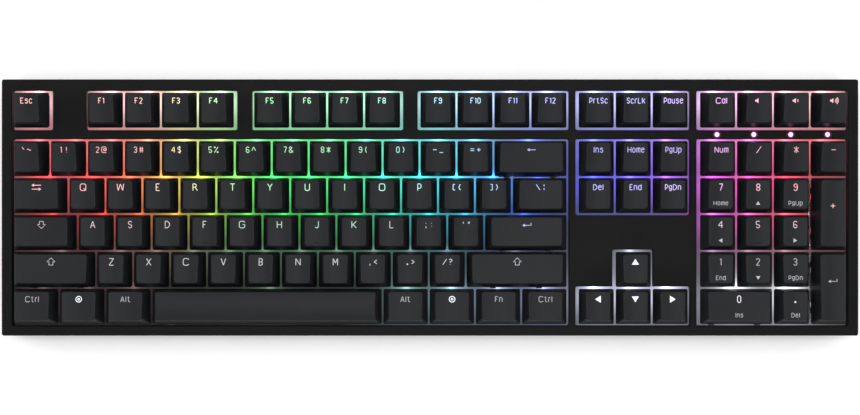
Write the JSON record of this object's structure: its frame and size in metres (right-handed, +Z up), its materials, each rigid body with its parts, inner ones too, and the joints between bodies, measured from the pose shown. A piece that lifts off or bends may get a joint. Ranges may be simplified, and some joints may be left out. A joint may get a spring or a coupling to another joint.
{
  "type": "mechanical keyboard",
  "caption": "Full-size backlit mechanical keyboard with sprung keys, wire stabilisers, a raised bezel and flip-out feet.",
  "frame": {"origin": "on the desk under the middle of the keyboard's footprint", "axes": "+X to the right as typed on, +Y to the rear, +Z up"},
  "size_m": [0.443, 0.1325, 0.0405],
  "materials": {
    "keycap_plastic": "matte moulded keycaps, fine grain",
    "case_plastic": "satin black, fine spark texture",
    "steel": "bright drawn steel",
    "white_plate": "white powder coat",
    "board": "solder mask",
    "black_housing": "moulded nylon",
    "clear_housing": "clear moulded",
    "contact_brass": "stamped leaf",
    "led": "white diffuser",
    "light_pipe": "clear, lit",
    "foot_rubber": "matte rubber"
  },
  "bodies": {
    "root": {"top_case": "case_plastic", "bottom_case": "case_plastic", "switch_plate": "white_plate", "circuit_board": "board", "lower_switch_housings": "black_housing", "upper_switch_housings": "clear_housing", "switch_springs": "steel", "switch_contacts": "contact_brass", "leds": "led", "light_pipes": "light_pipe", "stabiliser_housings": "black_housing", "usb_socket": "steel", "controller_chip": "black_housing", "case_screws": "steel", "rubber_feet": "foot_rubber", "foot_pins": "steel"},
    "escape_key": {"escape_key": "keycap_plastic"},
    "f1_to_f4_keys": {"f1_to_f4_keys": "keycap_plastic"},
    "f5_to_f8_keys": {"f5_to_f8_keys": "keycap_plastic"},
    "f9_to_f12_keys": {"f9_to_f12_keys": "keycap_plastic"},
    "number_row_keys": {"number_row_keys": "keycap_plastic"},
    "backspace_key": {"backspace_key": "keycap_plastic"},
    "tab_key": {"tab_key": "keycap_plastic"},
    "upper_letter_keys": {"upper_letter_keys": "keycap_plastic"},
    "backslash_key": {"backslash_key": "keycap_plastic"},
    "caps_lock_key": {"caps_lock_key": "keycap_plastic"},
    "home_row_keys": {"home_row_keys": "keycap_plastic"},
    "enter_key": {"enter_key": "keycap_plastic"},
    "left_shift_key": {"left_shift_key": "keycap_plastic"},
    "lower_letter_keys": {"lower_letter_keys": "keycap_plastic"},
    "right_shift_key": {"right_shift_key": "keycap_plastic"},
    "modifier_keys": {"modifier_keys": "keycap_plastic"},
    "space_bar": {"space_bar": "keycap_plastic"},
    "print_screen_keys": {"print_screen_keys": "keycap_plastic"},
    "navigation_keys": {"navigation_keys": "keycap_plastic"},
    "up_arrow_key": {"up_arrow_key": "keycap_plastic"},
    "left_arrow_key": {"left_arrow_key": "keycap_plastic"},
    "down_arrow_key": {"down_arrow_key": "keycap_plastic"},
    "right_arrow_key": {"right_arrow_key": "keycap_plastic"},
    "media_keys": {"media_keys": "keycap_plastic"},
    "pad_operator_keys": {"pad_operator_keys": "keycap_plastic"},
    "pad_789_keys": {"pad_789_keys": "keycap_plastic"},
    "pad_456_keys": {"pad_456_keys": "keycap_plastic"},
    "pad_123_keys": {"pad_123_keys": "keycap_plastic"},
    "pad_plus_key": {"pad_plus_key": "keycap_plastic"},
    "pad_enter_key": {"pad_enter_key": "keycap_plastic"},
    "pad_zero_key": {"pad_zero_key": "keycap_plastic"},
    "pad_decimal_key": {"pad_decimal_key": "keycap_plastic"},
    "backspace_stabiliser_wire": {"backspace_stabiliser_wire": "steel"},
    "enter_stabiliser_wire": {"enter_stabiliser_wire": "steel"},
    "left_shift_stabiliser_wire": {"left_shift_stabiliser_wire": "steel"},
    "right_shift_stabiliser_wire": {"right_shift_stabiliser_wire": "steel"},
    "space_bar_stabiliser_wire": {"space_bar_stabiliser_wire": "steel"},
    "pad_zero_stabiliser_wire": {"pad_zero_stabiliser_wire": "steel"},
    "pad_plus_stabiliser_wire": {"pad_plus_stabiliser_wire": "steel"},
    "pad_enter_stabiliser_wire": {"pad_enter_stabiliser_wire": "steel"},
    "left_large_foot": {"left_large_foot": "case_plastic"},
    "left_small_foot": {"left_small_foot": "case_plastic"},
    "right_large_foot": {"right_large_foot": "case_plastic"},
    "right_small_foot": {"right_small_foot": "case_plastic"}
  },
  "joints": [
    {"name": "escape_key_press", "type": "slide", "parent": "root", "child": "escape_key", "axis": [0, 0.0872, -0.9962], "range_m": [0, 0.004], "stiffness_N_per_m": 80, "springref_m": -0.004, "deforming": ["switch_springs"]},
    {"name": "f1_to_f4_keys_press", "type": "slide", "parent": "root", "child": "f1_to_f4_keys", "axis": [0, 0.0872, -0.9962], "range_m": [0, 0.004], "stiffness_N_per_m": 320, "springref_m": -0.004},
    {"name": "f5_to_f8_keys_press", "type": "slide", "parent": "root", "child": "f5_to_f8_keys", "axis": [0, 0.0872, -0.9962], "range_m": [0, 0.004], "stiffness_N_per_m": 320, "springref_m": -0.004},
    {"name": "f9_to_f12_keys_press", "type": "slide", "parent": "root", "child": "f9_to_f12_keys", "axis": [0, 0.0872, -0.9962], "range_m": [0, 0.004], "stiffness_N_per_m": 320, "springref_m": -0.004},
    {"name": "number_row_keys_press", "type": "slide", "parent": "root", "child": "number_row_keys", "axis": [0, 0.0872, -0.9962], "range_m": [0, 0.004], "stiffness_N_per_m": 1040, "springref_m": -0.004},
    {"name": "backspace_key_press", "type": "slide", "parent": "root", "child": "backspace_key", "axis": [0, 0.0872, -0.9962], "range_m": [0, 0.004], "stiffness_N_per_m": 80, "springref_m": -0.004},
    {"name": "tab_key_press", "type": "slide", "parent": "root", "child": "tab_key", "axis": [0, 0.0872, -0.9962], "range_m": [0, 0.004], "stiffness_N_per_m": 80, "springref_m": -0.004},
    {"name": "upper_letter_keys_press", "type": "slide", "parent": "root", "child": "upper_letter_keys", "axis": [0, 0.0872, -0.9962], "range_m": [0, 0.004], "stiffness_N_per_m": 960, "springref_m": -0.004},
    {"name": "backslash_key_press", "type": "slide", "parent": "root", "child": "backslash_key", "axis": [0, 0.0872, -0.9962], "range_m": [0, 0.004], "stiffness_N_per_m": 80, "springref_m": -0.004},
    {"name": "caps_lock_key_press", "type": "slide", "parent": "root", "child": "caps_lock_key", "axis": [0, 0.0872, -0.9962], "range_m": [0, 0.004], "stiffness_N_per_m": 80, "springref_m": -0.004},
    {"name": "home_row_keys_press", "type": "slide", "parent": "root", "child": "home_row_keys", "axis": [0, 0.0872, -0.9962], "range_m": [0, 0.004], "stiffness_N_per_m": 880, "springref_m": -0.004},
    {"name": "enter_key_press", "type": "slide", "parent": "root", "child": "enter_key", "axis": [0, 0.0872, -0.9962], "range_m": [0, 0.004], "stiffness_N_per_m": 80, "springref_m": -0.004},
    {"name": "left_shift_key_press", "type": "slide", "parent": "root", "child": "left_shift_key", "axis": [0, 0.0872, -0.9962], "range_m": [0, 0.004], "stiffness_N_per_m": 80, "springref_m": -0.004},
    {"name": "lower_letter_keys_press", "type": "slide", "parent": "root", "child": "lower_letter_keys", "axis": [0, 0.0872, -0.9962], "range_m": [0, 0.004], "stiffness_N_per_m": 800, "springref_m": -0.004},
    {"name": "right_shift_key_press", "type": "slide", "parent": "root", "child": "right_shift_key", "axis": [0, 0.0872, -0.9962], "range_m": [0, 0.004], "stiffness_N_per_m": 80, "springref_m": -0.004},
    {"name": "modifier_keys_press", "type": "slide", "parent": "root", "child": "modifier_keys", "axis": [0, 0.0872, -0.9962], "range_m": [0, 0.004], "stiffness_N_per_m": 560, "springref_m": -0.004},
    {"name": "space_bar_press", "type": "slide", "parent": "root", "child": "space_bar", "axis": [0, 0.0872, -0.9962], "range_m": [0, 0.004], "stiffness_N_per_m": 80, "springref_m": -0.004},
    {"name": "print_screen_keys_press", "type": "slide", "parent": "root", "child": "print_screen_keys", "axis": [0, 0.0872, -0.9962], "range_m": [0, 0.004], "stiffness_N_per_m": 240, "springref_m": -0.004},
    {"name": "navigation_keys_press", "type": "slide", "parent": "root", "child": "navigation_keys", "axis": [0, 0.0872, -0.9962], "range_m": [0, 0.004], "stiffness_N_per_m": 480, "springref_m": -0.004},
    {"name": "up_arrow_key_press", "type": "slide", "parent": "root", "child": "up_arrow_key", "axis": [0, 0.0872, -0.9962], "range_m": [0, 0.004], "stiffness_N_per_m": 80, "springref_m": -0.004},
    {"name": "left_arrow_key_press", "type": "slide", "parent": "root", "child": "left_arrow_key", "axis": [0, 0.0872, -0.9962], "range_m": [0, 0.004], "stiffness_N_per_m": 80, "springref_m": -0.004},
    {"name": "down_arrow_key_press", "type": "slide", "parent": "root", "child": "down_arrow_key", "axis": [0, 0.0872, -0.9962], "range_m": [0, 0.004], "stiffness_N_per_m": 80, "springref_m": -0.004},
    {"name": "right_arrow_key_press", "type": "slide", "parent": "root", "child": "right_arrow_key", "axis": [0, 0.0872, -0.9962], "range_m": [0, 0.004], "stiffness_N_per_m": 80, "springref_m": -0.004},
    {"name": "media_keys_press", "type": "slide", "parent": "root", "child": "media_keys", "axis": [0, 0.0872, -0.9962], "range_m": [0, 0.004], "stiffness_N_per_m": 320, "springref_m": -0.004},
    {"name": "pad_operator_keys_press", "type": "slide", "parent": "root", "child": "pad_operator_keys", "axis": [0, 0.0872, -0.9962], "range_m": [0, 0.004], "stiffness_N_per_m": 320, "springref_m": -0.004},
    {"name": "pad_789_keys_press", "type": "slide", "parent": "root", "child": "pad_789_keys", "axis": [0, 0.0872, -0.9962], "range_m": [0, 0.004], "stiffness_N_per_m": 240, "springref_m": -0.004},
    {"name": "pad_456_keys_press", "type": "slide", "parent": "root", "child": "pad_456_keys", "axis": [0, 0.0872, -0.9962], "range_m": [0, 0.004], "stiffness_N_per_m": 240, "springref_m": -0.004},
    {"name": "pad_123_keys_press", "type": "slide", "parent": "root", "child": "pad_123_keys", "axis": [0, 0.0872, -0.9962], "range_m": [0, 0.004], "stiffness_N_per_m": 240, "springref_m": -0.004},
    {"name": "pad_plus_key_press", "type": "slide", "parent": "root", "child": "pad_plus_key", "axis": [0, 0.0872, -0.9962], "range_m": [0, 0.004], "stiffness_N_per_m": 80, "springref_m": -0.004},
    {"name": "pad_enter_key_press", "type": "slide", "parent": "root", "child": "pad_enter_key", "axis": [0, 0.0872, -0.9962], "range_m": [0, 0.004], "stiffness_N_per_m": 80, "springref_m": -0.004},
    {"name": "pad_zero_key_press", "type": "slide", "parent": "root", "child": "pad_zero_key", "axis": [0, 0.0872, -0.9962], "range_m": [0, 0.004], "stiffness_N_per_m": 80, "springref_m": -0.004},
    {"name": "pad_decimal_key_press", "type": "slide", "parent": "root", "child": "pad_decimal_key", "axis": [0, 0.0872, -0.9962], "range_m": [0, 0.004], "stiffness_N_per_m": 80, "springref_m": -0.004},
    {"name": "backspace_stabiliser_wire_rock", "type": "hinge", "parent": "root", "child": "backspace_stabiliser_wire", "pos_m": [0.05175, 0.01642, 0.02103], "axis": [-1, 0, 0], "range_deg": [0, 25.73]},
    {"name": "enter_stabiliser_wire_rock", "type": "hinge", "parent": "root", "child": "enter_stabiliser_wire", "pos_m": [0.04937, -0.02154, 0.01771], "axis": [-1, 0, 0], "range_deg": [0, 25.73]},
    {"name": "left_shift_stabiliser_wire_rock", "type": "hinge", "parent": "root", "child": "left_shift_stabiliser_wire", "pos_m": [-0.19352, -0.04051, 0.01605], "axis": [-1, 0, 0], "range_deg": [0, 25.73]},
    {"name": "right_shift_stabiliser_wire_rock", "type": "hinge", "parent": "root", "child": "right_shift_stabiliser_wire", "pos_m": [0.04461, -0.04051, 0.01605], "axis": [-1, 0, 0], "range_deg": [0, 25.73]},
    {"name": "space_bar_stabiliser_wire_rock", "type": "hinge", "parent": "root", "child": "space_bar_stabiliser_wire", "pos_m": [-0.08398, -0.05949, 0.01439], "axis": [-1, 0, 0], "range_deg": [0, 25.73]},
    {"name": "pad_zero_stabiliser_wire_rock", "type": "hinge", "parent": "root", "child": "pad_zero_stabiliser_wire", "pos_m": [0.1578, -0.05949, 0.01439], "axis": [-1, 0, 0], "range_deg": [0, 25.73]},
    {"name": "pad_plus_stabiliser_wire_rock", "type": "hinge", "parent": "root", "child": "pad_plus_stabiliser_wire", "pos_m": [0.19665, -0.00331, 0.0193], "axis": [0, 0.9962, 0.0872], "range_deg": [0, 25.73]},
    {"name": "pad_enter_stabiliser_wire_rock", "type": "hinge", "parent": "root", "child": "pad_enter_stabiliser_wire", "pos_m": [0.19665, -0.04126, 0.01598], "axis": [0, 0.9962, 0.0872], "range_deg": [0, 25.73]},
    {"name": "left_large_foot_swing", "type": "hinge", "parent": "root", "child": "left_large_foot", "pos_m": [-0.15, 0.056, 0.0042], "axis": [1, 0, 0], "range_deg": [0, 95]},
    {"name": "left_small_foot_swing", "type": "hinge", "parent": "root", "child": "left_small_foot", "pos_m": [-0.15, 0.056, 0.0042], "axis": [1, 0, 0], "range_deg": [0, 95]},
    {"name": "right_large_foot_swing", "type": "hinge", "parent": "root", "child": "right_large_foot", "pos_m": [0.15, 0.056, 0.0042], "axis": [1, 0, 0], "range_deg": [0, 95]},
    {"name": "right_small_foot_swing", "type": "hinge", "parent": "root", "child": "right_small_foot", "pos_m": [0.15, 0.056, 0.0042], "axis": [1, 0, 0], "range_deg": [0, 95]}
  ],
  "couplings": [
    {"joint": "backspace_stabiliser_wire_rock", "follows": "backspace_key_press", "rad_per_m": 112.05},
    {"joint": "enter_stabiliser_wire_rock", "follows": "enter_key_press", "rad_per_m": 112.05},
    {"joint": "left_shift_stabiliser_wire_rock", "follows": "left_shift_key_press", "rad_per_m": 112.05},
    {"joint": "right_shift_stabiliser_wire_rock", "follows": "right_shift_key_press", "rad_per_m": 112.05},
    {"joint": "space_bar_stabiliser_wire_rock", "follows": "space_bar_press", "rad_per_m": 112.05},
    {"joint": "pad_zero_stabiliser_wire_rock", "follows": "pad_zero_key_press", "rad_per_m": 112.05},
    {"joint": "pad_plus_stabiliser_wire_rock", "follows": "pad_plus_key_press", "rad_per_m": 112.05},
    {"joint": "pad_enter_stabiliser_wire_rock", "follows": "pad_enter_key_press", "rad_per_m": 112.05}
  ]
}
